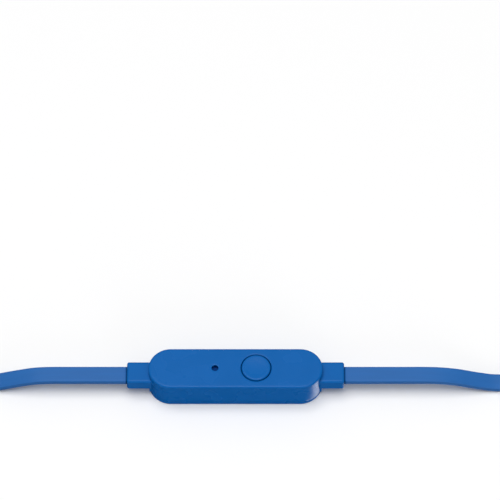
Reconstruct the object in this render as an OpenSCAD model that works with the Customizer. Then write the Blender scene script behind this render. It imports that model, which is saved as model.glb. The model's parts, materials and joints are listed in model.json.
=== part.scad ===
// In-line one-button remote and microphone on a flat headset cable, in millimetres.
// +X runs along the pod towards the phone plug, +Z is up and the pod lies on its back at z = 0.

/* [Pod] */
// Length of the pod, end to end
pod_len = 38.6; // [37.6:0.2:40]
// Width of the pod
pod_wid = 9.9; // [9.9:0.1:10.6]
// Height of the pod
pod_ht = 7.7; // [7.7:0.1:8.2]
// Thickness of the moulded walls
wall = 1.0; // [0.9:0.05:1]
// Rounding of the pod's top edge
top_round = 0.4; // [0.2:0.1:0.6]
// Rounding of the pod's bottom edge
base_round = 0.3; // [0.2:0.1:0.5]
// Height of the bottom cover's outer rim
cover_ht = 1.0; // [0.9:0.05:1]
// Width of the parting groove between the cover and the shell
seam = 0.1; // [0.05:0.01:0.12]

/* [Controls] */
// Distance of the button, and of the microphone hole, from the pod's middle
control_x = 4.55; // [4.3:0.05:4.8]
// Diameter of the hole that the button sits in
button_hole_d = 6.8; // [6.6:0.1:7]
// Gap all round the button
button_gap = 0.2; // [0.15:0.01:0.22]
// How far the button stands out of the pod at rest
button_proud = 0.25; // [0.2:0.05:0.3]
// Travel of the button
button_travel = 0.25; // [0.2:0.05:0.3]
// Diameter of the microphone hole
mic_hole_d = 1.5; // [1.2:0.1:1.8]

/* [Cable] */
// Width of the flat cable
cable_wid = 3.8; // [3.6:0.1:3.8]
// Thickness of the flat cable
cable_thk = 1.4; // [1.3:0.1:1.4]
// Width of the strain reliefs
relief_wid = 5.3; // [5:0.1:5.4]
// Thickness of the strain reliefs
relief_thk = 3.3; // [3.1:0.1:3.4]
// How far the strain reliefs stand out of the pod
relief_out = 4.8; // [4:0.2:6]
// Height of the cable's centreline where it leaves the pod
cable_z = 4.3; // [4.3:0.1:4.4]

/* [Plugs] */
// Diameter of the plug pins
pin_d = 3.5; // [3.5]
// Length of the plug pins
pin_len = 14; // [14]
// Diameter of the plug grips
grip_d = 6.0; // [5.6:0.1:6]
// Length of the plug grips
grip_len = 16; // [14:1:16]
// Length of the plugs' own strain reliefs
plug_relief_len = 8; // [6:1:8]

/* [Hidden] */
$fn = 72;
tiny = 0.05;
play = 0.05;
blue = [0.08, 0.36, 0.66];
dark_blue = [0.06, 0.28, 0.54];
metal = [0.75, 0.75, 0.77];
gold = [0.85, 0.68, 0.35];
black = [0.08, 0.08, 0.09];

// Pod
shell_base = cover_ht + seam;
roof_z = pod_ht - wall;
room_len = pod_len - 2 * wall;
room_wid = pod_wid - 2 * wall;
lip_thk = 0.7;
lip_top = 2.0;
catch_x = 9;
catch_size = [2.0, 0.3, 0.4];
catch_z = 1.45;
tongue_x = 17.8;
rib_places = [-10, -3.3, 3.3, 10];
rib_size = [1, 5.8];

// Circuit board
board_size = [24, 6.6, 0.8];
board_z = 2.6;
board_top = board_z + board_size.z;
pad_thk = 0.05;
part_z = board_top + pad_thk;
post_x = 8.9;
post_y = 2.6;
post_d = 1.0;
wire_pad = [1.5, 0.9, pad_thk];
chip_pad = [0.5, 0.7, pad_thk];
switch_pad = [0.7, 0.8, pad_thk];
resistor_size = [1.4, 0.7, 0.4];
resistor_places = [[-0.9, 2.2], [-0.9, 0.8], [0.9, -2.4]];
capacitor_size = [1.7, 0.8, 0.75];
capacitor_places = [[8.5, -1.0], [8.5, 0.9], [-8.6, 0]];
diode_size = [1.3, 1.1, 0.6];
diode_place = [0.7, -0.7];

// Switch and button
switch_wid = 4.4;
switch_top = 4.5;
recess_floor = 3.7;
recess_d = 3.4;
terminal_x = switch_wid / 2 + 0.35;
terminal_y = 1.3;
crushed_dome = 0.2;
stem_low = recess_floor + crushed_dome + button_travel;
stem_d = 1.9;
stem_foot = [1.3, 0.27];
stem_top = 5.25;
dome_z = recess_floor + 0.02;
dome_ht = stem_low - 0.03 - dome_z;
cover_thk = 0.15;
flange_d = 7.6;
flange_z = [6.05, 6.65];
cap_d = button_hole_d - 2 * button_gap;
cap_top = pod_ht + button_proud;
cap_base = 5.9;
cap_round = 0.3;
hollow_d = 5.2;
hub_d = 2.4;
nub_d = 1.8;

// Microphone
mic_d = 4.0;
mic_top = 4.9;
can_thk = 0.2;
sound_hole_d = 0.8;
disc_d = mic_d - 0.45;
film_z = 4.3;
film_thk = 0.12;
boot_d = 5.4;
boot_top = 6.55;
mesh_d = 3;

// Strain reliefs
relief_x = pod_len / 2 + relief_out;
relief_root = 17;
relief_round = 0.6;
neck_wid = 4.6;
neck_thk = 2.6;
inner_flange_x = [16.6, 17.3];
inner_flange_thk = 3.2;
jacket_in = 16.0;

// Wires and their pads: half spacing at the jacket and on the board
wire_r = 0.22;
wire_end_x = 11.1;
wire_end_z = part_z + 0.25;
pad_x = 11;
pad_pitch = 1.4;
jacket_pitch = 0.85;
joint_r = 0.5;

// Flat cable laid out on the surface. Each hank is a long wound loop with its runs along X.
half_wid = cable_wid / 2;
half_thk = cable_thk / 2;
edge_cut = 0.35;
hank_r = 11;
turn_pitch = 1.5;
tie_thk = 0.3;
tier_gap = 0.1;
low_tier_z = tie_thk + half_wid;
high_tier_z = low_tier_z + cable_wid + tier_gap;
hank_top = high_tier_z + half_wid;
stub = 6;
tie_wid = 6;
right_near = 86;
right_span = 24;
right_turns = 3;
left_near = 81;
left_span = 8;
left_turns = 2;
plug_y = 8.8;
plug_z = grip_d / 2;
tail_run = 13;

// Routes of the cable's free stretches as [x, y, z, twist]; twist 90 stands the cable on its edge.
right_lead = [
    [relief_x, 0, cable_z, 0], [28, 0, cable_z, 0], [33, 0, cable_z, 0], [38, 0, cable_z, 0],
    [42.5, 0, cable_z, 0], [46, 0, 4.05, 0], [49.5, 0, 3.35, 0], [52, 0, 2.5, 0], [54.5, 0, 1.7, 0],
    [57.5, 0, 1, 0], [61, 0.1, 0.9, 5], [64, 0.9, 1.2, 17], [67, 3, 1.6, 31], [70, 6, 1.95, 46],
    [73, 8.8, 2.15, 61], [76, 10.4, 2.25, 76], [right_near - stub, hank_r, low_tier_z, 90]
];
left_lead = [
    [relief_x, 0, cable_z, 0], [28, 0, cable_z, 0], [33, 0, cable_z, 0], [37, 0, cable_z, 0],
    [41, 0, cable_z, 0], [44.5, 0, 4, 0], [47.5, 0, 3.2, 0], [50, 0, 2.35, 0], [52.5, 0, 1.5, 0],
    [55, 0.1, 0.95, 4], [58, 0.7, 1.05, 12], [61, 2.4, 1.4, 26], [64, 5.2, 1.8, 40], [67, 8.2, 2.1, 55],
    [70.5, 10.3, 2.25, 73], [left_near - stub, hank_r, low_tier_z, 90]
];
// A tail leaves the top of its hank and comes down to the plug, given from the hank's exit on.
tail = [
    [0, hank_r, high_tier_z, 90], [3, hank_r - 0.1, high_tier_z - 0.25, 90],
    [5.5, hank_r - 0.6, high_tier_z - 1.1, 90], [8, hank_r - 1.4, high_tier_z - 2.2, 90],
    [10.5, hank_r - 2.1, plug_z + 0.15, 90], [tail_run, plug_y, plug_z, 90]
];

// ---- Shared shapes ----

module stadium(len, wid) {
    square([len - wid, wid], center = true);
    for (s = [-1, 1])
        translate([s * (len - wid) / 2, 0])
            circle(d = wid);
}

module prism(len, wid, low, high) {
    translate([0, 0, low])
        linear_extrude(high - low)
            stadium(len, wid);
}

// Half of a section through the pod, from its middle plane outwards.
module edge_profile(half, ht, top_r, base_r) {
    translate([0, base_r])
        square([half - top_r, ht - base_r]);
    square([half - base_r, ht - top_r]);
    translate([0, base_r])
        square([half, ht - top_r - base_r]);
    if (top_r > 0)
        translate([half - top_r, ht - top_r])
            circle(r = top_r);
    if (base_r > 0)
        translate([half - base_r, base_r])
            circle(r = base_r);
}

module rounded_prism(len, wid, low, high, top_r, base_r) {
    ht = high - low;
    translate([0, 0, low]) {
        rotate([90, 0, 90])
            linear_extrude(len - wid, center = true) {
                edge_profile(wid / 2, ht, top_r, base_r);
                mirror([1, 0])
                    edge_profile(wid / 2, ht, top_r, base_r);
            }
        for (s = [-1, 1])
            translate([s * (len - wid) / 2, 0, 0])
                rotate_extrude()
                    edge_profile(wid / 2, ht, top_r, base_r);
    }
}

module rounded_rect(size, r) {
    square([size.x - 2 * r, size.y], center = true);
    square([size.x, size.y - 2 * r], center = true);
    for (sx = [-1, 1], sy = [-1, 1])
        translate([sx * (size.x / 2 - r), sy * (size.y / 2 - r)])
            circle(r = r);
}

// A box from x0 to x1 that is centred on y = 0 and on the given height.
module bar(x0, x1, wid, thk, z) {
    translate([x0, -wid / 2, z - thk / 2])
        cube([x1 - x0, wid, thk]);
}

// A straight round rod between two points.
module rod(a, b, r) {
    d = b - a;
    translate(a)
        rotate([0, acos(d.z / norm(d)), atan2(d.y, d.x)])
            cylinder(r = r, h = norm(d));
}

module both_ends() {
    children();
    mirror([1, 0, 0])
        children();
}

// ---- Flat cable ----

// Corners of the cable's section, across its width and its thickness.
section = [
    [half_wid, half_thk - edge_cut], [half_wid - edge_cut, half_thk],
    [edge_cut - half_wid, half_thk], [-half_wid, half_thk - edge_cut],
    [-half_wid, edge_cut - half_thk], [edge_cut - half_wid, -half_thk],
    [half_wid - edge_cut, -half_thk], [half_wid, edge_cut - half_thk]
];

function unit(v) = v / norm(v);
function place(p) = [p[0], p[1], p[2]];

// Direction of the route at its point i; both ends run straight along X.
function heading(route, i) =
    i == 0 || i == len(route) - 1 ? [1, 0, 0] : unit(place(route[i + 1]) - place(route[i - 1]));

function ring_at(route, i) =
    let (
        t = heading(route, i),
        side = unit(cross([0, 0, 1], t)),
        up = cross(t, side),
        a = route[i][3],
        across = cos(a) * side + sin(a) * up,
        through = cross(t, across)
    )
    [for (q = section) place(route[i]) + q.x * across + q.y * through];

module flat_cable(route) {
    n = len(section);
    rings = len(route);
    points = [for (i = [0:rings - 1]) each ring_at(route, i)];
    sides = [
        for (i = [0:rings - 2], k = [0:n - 1])
        let (a = i * n + k, b = i * n + (k + 1) % n)
        each [[a, a + n, b + n], [a, b + n, b]]
    ];
    start = [[for (k = [0:n - 1]) k]];
    finish = [[for (k = [n - 1:-1:0]) (rings - 1) * n + k]];
    polyhedron(points = points, faces = concat(start, sides, finish));
}

// The closed outline of a wound hank, with the cable's way in below and its way out above.
module hank(near, span, turns) {
    outer = hank_r + half_thk;
    inner = hank_r - (turns - 1) * turn_pitch - half_thk;
    far = near + span;
    translate([near + span / 2, 0, tie_thk])
        linear_extrude(hank_top - tie_thk)
            difference() {
                stadium(span + 2 * outer, 2 * outer);
                stadium(span + 2 * inner, 2 * inner);
            }
    translate([near - stub, hank_r - half_thk, low_tier_z - half_wid])
        cube([stub + 1, cable_thk, cable_wid]);
    translate([far - 1, hank_r - half_thk, high_tier_z - half_wid])
        cube([stub + 1, cable_thk, cable_wid]);
}

module hank_tie(near, span) {
    outer = hank_r + half_thk;
    translate([near + span / 2, 0, 0])
        rotate([90, 0, 90])
            linear_extrude(tie_wid, center = true)
                difference() {
                    translate([-outer - tie_thk, 0])
                        square([2 * (outer + tie_thk), hank_top + tie_thk]);
                    translate([-outer, tie_thk])
                        square([2 * outer, hank_top - tie_thk]);
                }
}

module shifted_tail(near, span) {
    exit_x = near + span + stub;
    flat_cable([for (p = tail) [p[0] + exit_x, p[1], p[2], p[3]]]);
}

module cord_right_lead() {
    color(blue)
        flat_cable(right_lead);
}

module cord_right_hank() {
    color(blue)
        hank(right_near, right_span, right_turns);
}

module cord_right_tail() {
    color(blue)
        shifted_tail(right_near, right_span);
}

module cord_left_lead() {
    color(blue)
        mirror([1, 0, 0])
            flat_cable(left_lead);
}

module cord_left_hank() {
    color(blue)
        mirror([1, 0, 0])
            hank(left_near, left_span, left_turns);
}

module cord_left_tail() {
    color(blue)
        mirror([1, 0, 0])
            shifted_tail(left_near, left_span);
}

module tie_right() {
    color(black)
        hank_tie(right_near, right_span);
}

module tie_left() {
    color(black)
        mirror([1, 0, 0])
            hank_tie(left_near, left_span);
}

// ---- Pod ----

module end_window(x0, x1, clearance, low) {
    top = cable_z + neck_thk / 2 + clearance;
    both_ends()
        translate([x0, -neck_wid / 2 - clearance, low])
            cube([x1 - x0, neck_wid + 2 * clearance, top - low]);
}

module catches(size, low) {
    for (sx = [-1, 1], sy = [-1, 1])
        translate([sx * catch_x, sy * (room_wid / 2 - play + size.y / 2), low + size.z / 2])
            cube([size.x, size.y + play, size.z], center = true);
}

module upper_shell() {
    color(blue) {
        difference() {
            rounded_prism(pod_len, pod_wid, shell_base, pod_ht, top_round, 0);
            prism(room_len, room_wid, 0, roof_z);
            translate([control_x, 0, roof_z - 1])
                cylinder(d = button_hole_d, h = wall + 2);
            translate([-control_x, 0, roof_z - 1])
                cylinder(d = mic_hole_d, h = wall + 2);
            end_window(inner_flange_x[1], pod_len, play, 0);
            catches(catch_size + [0.1, 0.15, 0.1], catch_z - play);
        }
        for (sx = [-1, 1], sy = [-1, 1])
            translate([sx * post_x, sy * post_y, board_top + 0.02])
                cylinder(d = post_d, h = roof_z - board_top);
    }
}

module bottom_cover() {
    tongue_top = cable_z - neck_thk / 2 - tiny;
    color(blue) {
        rounded_prism(pod_len, pod_wid, 0, cover_ht, 0, base_round);
        difference() {
            prism(room_len - 2 * play, room_wid - 2 * play, cover_ht - tiny, lip_top);
            prism(room_len - 2 * lip_thk, room_wid - 2 * lip_thk, 0, lip_top + 1);
        }
        catches(catch_size, catch_z);
        // Tongues that close the shell's end windows under the strain reliefs
        intersection() {
            prism(pod_len - 2 * tiny, pod_wid - 2 * tiny, cover_ht - tiny, tongue_top);
            both_ends()
                translate([tongue_x, -neck_wid / 2, 0])
                    cube([2, neck_wid, pod_ht]);
        }
        // Ribs that carry the circuit board
        for (x = rib_places)
            translate([x - rib_size.x / 2, -rib_size.y / 2, cover_ht - tiny])
                cube([rib_size.x, rib_size.y, board_z - cover_ht + tiny]);
    }
}

module cap_body() {
    r = cap_d / 2;
    color(blue)
        difference() {
            rotate_extrude() {
                square([r, cap_top - cap_round]);
                square([r - cap_round, cap_top]);
                translate([r - cap_round, cap_top - cap_round])
                    circle(r = cap_round);
                translate([0, flange_z[0]])
                    square([flange_d / 2, flange_z[1] - flange_z[0]]);
            }
            translate([0, 0, -1])
                cylinder(d = 2 * flange_d, h = cap_base + 1);
            // Moulded hollow under the cap, around its middle
            translate([0, 0, cap_base - 1])
                difference() {
                    cylinder(d = hollow_d, h = 2);
                    cylinder(d = hub_d, h = 2);
                }
        }
}

module cap_nub() {
    color(blue)
        translate([0, 0, stem_top + tiny])
            cylinder(d = nub_d, h = cap_base - stem_top);
}

module button_cap() {
    translate([control_x, 0, 0]) {
        cap_body();
        cap_nub();
    }
}

// ---- Switch ----

module switch_base() {
    color(black)
        translate([control_x, 0, 0])
            difference() {
                translate([-switch_wid / 2, -switch_wid / 2, part_z])
                    cube([switch_wid, switch_wid, switch_top - part_z]);
                translate([0, 0, recess_floor])
                    cylinder(d = recess_d, h = 2);
            }
}

module switch_terminals() {
    color(metal)
        for (sx = [-1, 1], sy = [-1, 1])
            translate([control_x + sx * terminal_x, sy * terminal_y, part_z + 0.08])
                cube([0.7, 0.6, 0.16], center = true);
}

module switch_dome() {
    color(metal)
        translate([control_x, 0, dome_z])
            rotate_extrude()
                polygon([
                    [1.55, 0], [1.55, 0.08], [0.9, dome_ht - 0.06], [0, dome_ht],
                    [0, dome_ht - 0.08], [0.86, dome_ht - 0.14], [1.4, 0]
                ]);
}

module switch_stem() {
    color(black)
        translate([control_x, 0, 0])
            rotate_extrude() {
                translate([0, stem_low])
                    square(stem_foot);
                translate([0, stem_low])
                    square([stem_d / 2, stem_top - stem_low]);
            }
}

module switch_cover() {
    color(metal)
        translate([control_x, 0, 0]) {
            difference() {
                translate([-switch_wid / 2, -switch_wid / 2, switch_top])
                    cube([switch_wid, switch_wid, cover_thk]);
                translate([0, 0, switch_top - 1])
                    cylinder(d = stem_d + 0.2, h = 2);
            }
            // Tabs folded down over the base
            for (s = [-1, 1])
                translate([0, s * (switch_wid + cover_thk) / 2, switch_top + cover_thk - 0.4])
                    cube([1.6, cover_thk, 0.8], center = true);
        }
}

// ---- Circuit board ----

module circuit_board() {
    color([0.05, 0.35, 0.2])
        translate([0, 0, board_z])
            linear_extrude(board_size.z)
                rounded_rect([board_size.x, board_size.y], 0.5);
}

// Places of n wires side by side, counted in pitches from the middle.
function pad_rows(n) = [for (k = [0:n - 1]) (k - (n - 1) / 2)];

module wire_pads(side, n) {
    for (k = pad_rows(n))
        translate([side * pad_x, k * pad_pitch, board_top + pad_thk / 2])
            cube(wire_pad, center = true);
}

module pad_pair(x, y, gap) {
    for (s = [-1, 1])
        translate([x + s * gap / 2, y, board_top + pad_thk / 2])
            cube(chip_pad, center = true);
}

module board_pads() {
    color(gold) {
        wire_pads(1, 4);
        wire_pads(-1, 3);
        for (p = resistor_places)
            pad_pair(p.x, p.y, 1.0);
        for (p = capacitor_places)
            pad_pair(p.x, p.y, 1.3);
        for (sx = [-1, 1], sy = [-1, 1])
            translate([control_x + sx * terminal_x, sy * terminal_y, board_top + pad_thk / 2])
                cube(switch_pad, center = true);
    }
}

// The wire k pitches from the middle, from the jacket's cut end down to its pad.
module wire(k) {
    top = [jacket_in + 0.5, k * jacket_pitch, cable_z];
    low = [wire_end_x, k * pad_pitch, wire_end_z];
    rod(top, low, wire_r);
}

module wires(n) {
    color([0.8, 0.45, 0.2])
        difference() {
            for (k = pad_rows(n))
                wire(k);
            bar(jacket_in, jacket_in + 2, 6, 3, cable_z);
        }
}

module wires_left() {
    mirror([1, 0, 0])
        wires(3);
}

module wires_right() {
    wires(4);
}

module joints(n) {
    for (k = pad_rows(n))
        difference() {
            translate([wire_end_x, k * pad_pitch, part_z])
                sphere(r = joint_r, $fn = 32);
            translate([wire_end_x - 1, k * pad_pitch - 1, part_z - 2])
                cube(2);
            wire(k);
        }
}

module solder_joints() {
    color(metal) {
        joints(4);
        mirror([1, 0, 0])
            joints(3);
    }
}

module chip(p, size) {
    translate([p.x, p.y, part_z + size.z / 2])
        cube(size, center = true);
}

module resistors() {
    color(black)
        for (p = resistor_places)
            chip(p, resistor_size);
}

module capacitors() {
    color([0.6, 0.48, 0.34])
        for (p = capacitor_places)
            chip(p, capacitor_size);
}

module esd_diode() {
    color(black)
        chip(diode_place, diode_size);
}

// ---- Microphone ----

module mic_can() {
    color(metal)
        translate([-control_x, 0, 0])
            difference() {
                translate([0, 0, board_top])
                    cylinder(d = mic_d, h = mic_top - board_top);
                translate([0, 0, board_top - 1])
                    cylinder(d = mic_d - 2 * can_thk, h = mic_top - board_top + 1 - can_thk);
                cylinder(d = sound_hole_d, h = mic_top + 1);
            }
}

module mic_board() {
    color([0.1, 0.4, 0.25])
        translate([-control_x, 0, board_top])
            cylinder(d = disc_d, h = 0.35);
}

module mic_diaphragm() {
    color(gold)
        translate([-control_x, 0, film_z])
            cylinder(d = disc_d, h = film_thk);
}

module mic_boot() {
    color(black)
        translate([-control_x, 0, 0])
            difference() {
                translate([0, 0, board_top])
                    cylinder(d = boot_d, h = boot_top - board_top);
                translate([0, 0, board_top - 1])
                    cylinder(d = mic_d + 0.04, h = mic_top - board_top + 1.02);
                cylinder(d = mic_hole_d, h = boot_top + 1);
            }
}

module mic_mesh() {
    color(black)
        translate([-control_x, 0, boot_top])
            cylinder(d = mesh_d, h = film_thk);
}

// ---- Strain reliefs and the cable ends inside them ----

module relief() {
    color(dark_blue)
        difference() {
            union() {
                difference() {
                    intersection() {
                        translate([relief_root, 0, cable_z])
                            rotate([90, 0, 90])
                                linear_extrude(relief_x - relief_root)
                                    rounded_rect([relief_wid, relief_thk], relief_round);
                        translate([(relief_root + relief_x) / 2, 0, 0])
                            linear_extrude(pod_ht)
                                rounded_rect([relief_x - relief_root, relief_wid], 0.5);
                    }
                    prism(pod_len + 0.04, pod_wid + 0.04, 0, pod_ht);
                }
                bar(inner_flange_x[1] - tiny, pod_len / 2 + 0.5, neck_wid, neck_thk, cable_z);
                bar(inner_flange_x[0], inner_flange_x[1], neck_wid, inner_flange_thk, cable_z);
            }
            jacket(jacket_in - 1, relief_x + 1);
        }
}

module relief_right() {
    relief();
}

module relief_left() {
    mirror([1, 0, 0])
        relief();
}

// A straight run of the cable along X.
module jacket(x0, x1) {
    translate([x0, 0, cable_z])
        rotate([90, 0, 90])
            linear_extrude(x1 - x0)
                polygon(section);
}

module jacket_end_right() {
    color(blue)
        jacket(jacket_in, relief_x);
}

module jacket_end_left() {
    mirror([1, 0, 0])
        jacket_end_right();
}

// ---- Plugs, drawn along +Z with the pin's shoulder at z = 0 ----

// Lays a plug on the surface past its hank, with its pin pointing away from the pod.
module lay_plug(near, span) {
    shoulder = near + span + stub + tail_run + plug_relief_len + grip_len;
    translate([shoulder, plug_y, plug_z])
        rotate([0, 90, 0])
            children();
}

pin_r = pin_d / 2;
core_r = 1.2;
rod_r = 0.6;
sleeve_root = -5;
root_r = 2.3;
gap_len = 0.6;
// Where each contact starts, counted from the shoulder
tip_z = 10.4;
upper_z = 7.8;
lower_z = 5.2;

module plug_relief() {
    low = -grip_len - plug_relief_len;
    groove = 0.9;
    color(blue)
        difference() {
            translate([0, 0, low])
                cylinder(r1 = 2.3, r2 = 2.7, h = plug_relief_len);
            for (k = [0:2])
                translate([0, 0, low + 1.5 + 2 * k])
                    difference() {
                        cylinder(r = 4, h = groove);
                        cylinder(r = 2.05, h = groove);
                    }
        }
}

module plug_grip() {
    r = grip_d / 2;
    soft = 0.5;
    color(blue)
        difference() {
            translate([0, 0, -grip_len])
                rotate_extrude()
                    polygon([
                        [0, 0], [r - soft, 0], [r, soft], [r, grip_len - soft],
                        [r - soft, grip_len], [0, grip_len]
                    ]);
            translate([0, 0, sleeve_root])
                cylinder(r = root_r, h = 10);
        }
}

// One contact ring of the pin; the sleeve also has a root that the grip holds.
module contact(low, high) {
    color(metal)
        difference() {
            translate([0, 0, low])
                cylinder(r = pin_r, h = high - low);
            translate([0, 0, low - 1])
                cylinder(r = core_r, h = high - low + 2);
        }
}

module sleeve(high) {
    contact(0, high);
    color(metal)
        difference() {
            translate([0, 0, sleeve_root])
                cylinder(r = root_r, h = -sleeve_root);
            translate([0, 0, sleeve_root - 1])
                cylinder(r = core_r, h = 10);
        }
}

module insulator(starts) {
    color(black)
        difference() {
            union() {
                translate([0, 0, sleeve_root])
                    cylinder(r = core_r, h = tip_z - sleeve_root);
                for (z = starts)
                    translate([0, 0, z - gap_len])
                        cylinder(r = pin_r, h = gap_len);
            }
            translate([0, 0, sleeve_root - 1])
                cylinder(r = rod_r, h = 30);
        }
}

module tip() {
    color(metal)
        rotate_extrude() {
            translate([0, sleeve_root])
                square([rod_r, tip_z - sleeve_root]);
            translate([0, tip_z])
                polygon([
                    [0, 0], [pin_r, 0], [pin_r, 0.6], [1.15, 1.1], [1.15, 1.3], [1.6, 1.9],
                    [0.9, 3.2], [0.5, 3.55], [0, pin_len - tip_z]
                ]);
        }
}

module phone_plug() {
    lay_plug(right_near, right_span)
        children();
}

module headphone_plug() {
    mirror([1, 0, 0])
        lay_plug(left_near, left_span)
            children();
}

module phone_plug_relief() {
    phone_plug()
        plug_relief();
}

module phone_plug_grip() {
    phone_plug()
        plug_grip();
}

module phone_plug_sleeve() {
    phone_plug()
        sleeve(lower_z - gap_len);
}

module phone_plug_lower_ring() {
    phone_plug()
        contact(lower_z, upper_z - gap_len);
}

module phone_plug_upper_ring() {
    phone_plug()
        contact(upper_z, tip_z - gap_len);
}

module phone_plug_tip() {
    phone_plug()
        tip();
}

module phone_plug_insulator() {
    phone_plug()
        insulator([lower_z, upper_z, tip_z]);
}

module headphone_plug_relief() {
    headphone_plug()
        plug_relief();
}

module headphone_plug_grip() {
    headphone_plug()
        plug_grip();
}

module headphone_plug_sleeve() {
    headphone_plug()
        sleeve(upper_z - gap_len);
}

module headphone_plug_ring() {
    headphone_plug()
        contact(upper_z, tip_z - gap_len);
}

module headphone_plug_tip() {
    headphone_plug()
        tip();
}

module headphone_plug_insulator() {
    headphone_plug()
        insulator([upper_z, tip_z]);
}

upper_shell();
bottom_cover();
button_cap();
switch_base();
switch_terminals();
switch_dome();
switch_stem();
switch_cover();
circuit_board();
board_pads();
solder_joints();
resistors();
capacitors();
esd_diode();
mic_can();
mic_diaphragm();
mic_board();
mic_boot();
mic_mesh();
relief_left();
relief_right();
jacket_end_left();
jacket_end_right();
wires_left();
wires_right();
cord_right_lead();
cord_right_hank();
cord_right_tail();
cord_left_lead();
cord_left_hank();
cord_left_tail();
tie_right();
tie_left();
phone_plug_relief();
phone_plug_grip();
phone_plug_sleeve();
phone_plug_lower_ring();
phone_plug_upper_ring();
phone_plug_tip();
phone_plug_insulator();
headphone_plug_relief();
headphone_plug_grip();
headphone_plug_sleeve();
headphone_plug_ring();
headphone_plug_tip();
headphone_plug_insulator();
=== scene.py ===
"""Looks of the in-line headset remote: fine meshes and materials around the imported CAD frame.

Lengths in the helpers are in millimetres, in the row frame; MM turns them into Blender's metres.
"""

import json
import math

import bmesh
import bpy
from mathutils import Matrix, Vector
from mathutils.geometry import delaunay_2d_cdt


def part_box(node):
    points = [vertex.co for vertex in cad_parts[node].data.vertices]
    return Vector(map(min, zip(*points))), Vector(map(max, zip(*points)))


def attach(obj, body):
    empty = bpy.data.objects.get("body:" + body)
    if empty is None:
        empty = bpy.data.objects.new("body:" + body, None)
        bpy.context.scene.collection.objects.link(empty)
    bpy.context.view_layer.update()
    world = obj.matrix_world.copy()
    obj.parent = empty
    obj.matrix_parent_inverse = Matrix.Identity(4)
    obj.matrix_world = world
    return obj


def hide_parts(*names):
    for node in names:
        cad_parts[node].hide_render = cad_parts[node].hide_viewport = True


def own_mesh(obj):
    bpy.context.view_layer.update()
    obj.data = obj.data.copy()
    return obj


MM = 0.001
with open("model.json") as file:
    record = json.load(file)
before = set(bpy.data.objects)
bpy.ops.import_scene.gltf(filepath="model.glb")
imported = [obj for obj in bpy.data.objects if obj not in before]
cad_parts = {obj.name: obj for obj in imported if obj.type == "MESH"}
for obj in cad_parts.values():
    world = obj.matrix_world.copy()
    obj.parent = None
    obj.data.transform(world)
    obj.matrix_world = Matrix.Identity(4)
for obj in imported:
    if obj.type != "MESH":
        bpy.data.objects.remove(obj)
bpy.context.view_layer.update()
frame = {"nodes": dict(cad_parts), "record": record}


def node_box(name):
    """A CAD node's lowest and highest corner, in millimetres."""
    return [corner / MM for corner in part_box(name)]


# ---- Sizes, from the frame where its boxes give them ----

shell_low, shell_high = node_box("upper_shell")
cap_low, cap_high = node_box("button_cap")
POD_LEN = shell_high.x - shell_low.x
POD_WID = shell_high.y - shell_low.y
POD_TOP = shell_high.z
# The parting line is a narrow groove between the cover and the shell
SEAM_TOP = shell_low.z
SEAM_LOW = SEAM_TOP - 0.1
SEAM_CHAMFER = 0.07
LIP_TOP = 2.0
LIP_GAP = 0.05
WALL = 1.0
TOP_ROUND = 0.4
BASE_ROUND = 0.3
# The pod's two ends are half circles about x = END_X and -END_X
END_X = (POD_LEN - POD_WID) / 2
BOARD_TOP = 3.42
BUTTON_X = (cap_low.x + cap_high.x) / 2
CAP_TOP = cap_high.z
MIC_X = -BUTTON_X
BUTTON_HOLE_R = 3.4
CAP_R = 3.2
MIC_HOLE_R = 0.75
DOME_BASE = 3.72
DOME_HT = 0.4
DOME_R = 1.55
RELIEF_WID = 5.3
RELIEF_THK = 3.3
RELIEF_ROUND = 0.6
RELIEF_X = node_box("relief_right")[1].x
CABLE_Z = 4.3
CABLE_WID = 3.8
CABLE_THK = 1.4

# The cable's route is the same as in the CAD source: (x, y, z, twist), with twist 90 on edge.
# A hank has two layers of turns on edge. The cable comes in low and leaves high.
HANK_R = 11
TURN_PITCH = 1.5
TIE_THK = 0.3
TIE_WID = 6
LOW_Z = TIE_THK + CABLE_WID / 2
HIGH_Z = LOW_Z + CABLE_WID + 0.1
# The straight stretches that join a hank to its lead and to its tail
STUB = 6
PLUG_Y = 8.8
PLUG_Z = 3.0
# near is the x of the hank's near bends, and span is from there to its far bends
RIGHT = {
    "near": 86,
    "span": 24,
    "turns": 3,
    "length": 0.648,
    "lead": [
        (RELIEF_X, 0, CABLE_Z, 0),
        (28, 0, CABLE_Z, 0),
        (33, 0, CABLE_Z, 0),
        (38, 0, CABLE_Z, 0),
        (42.5, 0, CABLE_Z, 0),
        (46, 0, 4.05, 0),
        (49.5, 0, 3.35, 0),
        (52, 0, 2.5, 0),
        (54.5, 0, 1.7, 0),
        (57.5, 0, 1, 0),
        (61, 0.1, 0.9, 5),
        (64, 0.9, 1.2, 17),
        (67, 3, 1.6, 31),
        (70, 6, 1.95, 46),
        (73, 8.8, 2.15, 61),
        (76, 10.4, 2.25, 76),
        (80, HANK_R, LOW_Z, 90),
    ],
}
LEFT = {
    "near": 81,
    "span": 8,
    "turns": 2,
    "length": 0.330,
    "lead": [
        (RELIEF_X, 0, CABLE_Z, 0),
        (28, 0, CABLE_Z, 0),
        (33, 0, CABLE_Z, 0),
        (37, 0, CABLE_Z, 0),
        (41, 0, CABLE_Z, 0),
        (44.5, 0, 4, 0),
        (47.5, 0, 3.2, 0),
        (50, 0, 2.35, 0),
        (52.5, 0, 1.5, 0),
        (55, 0.1, 0.95, 4),
        (58, 0.7, 1.05, 12),
        (61, 2.4, 1.4, 26),
        (64, 5.2, 1.8, 40),
        (67, 8.2, 2.1, 55),
        (70.5, 10.3, 2.25, 73),
        (75, HANK_R, LOW_Z, 90),
    ],
}
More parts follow.
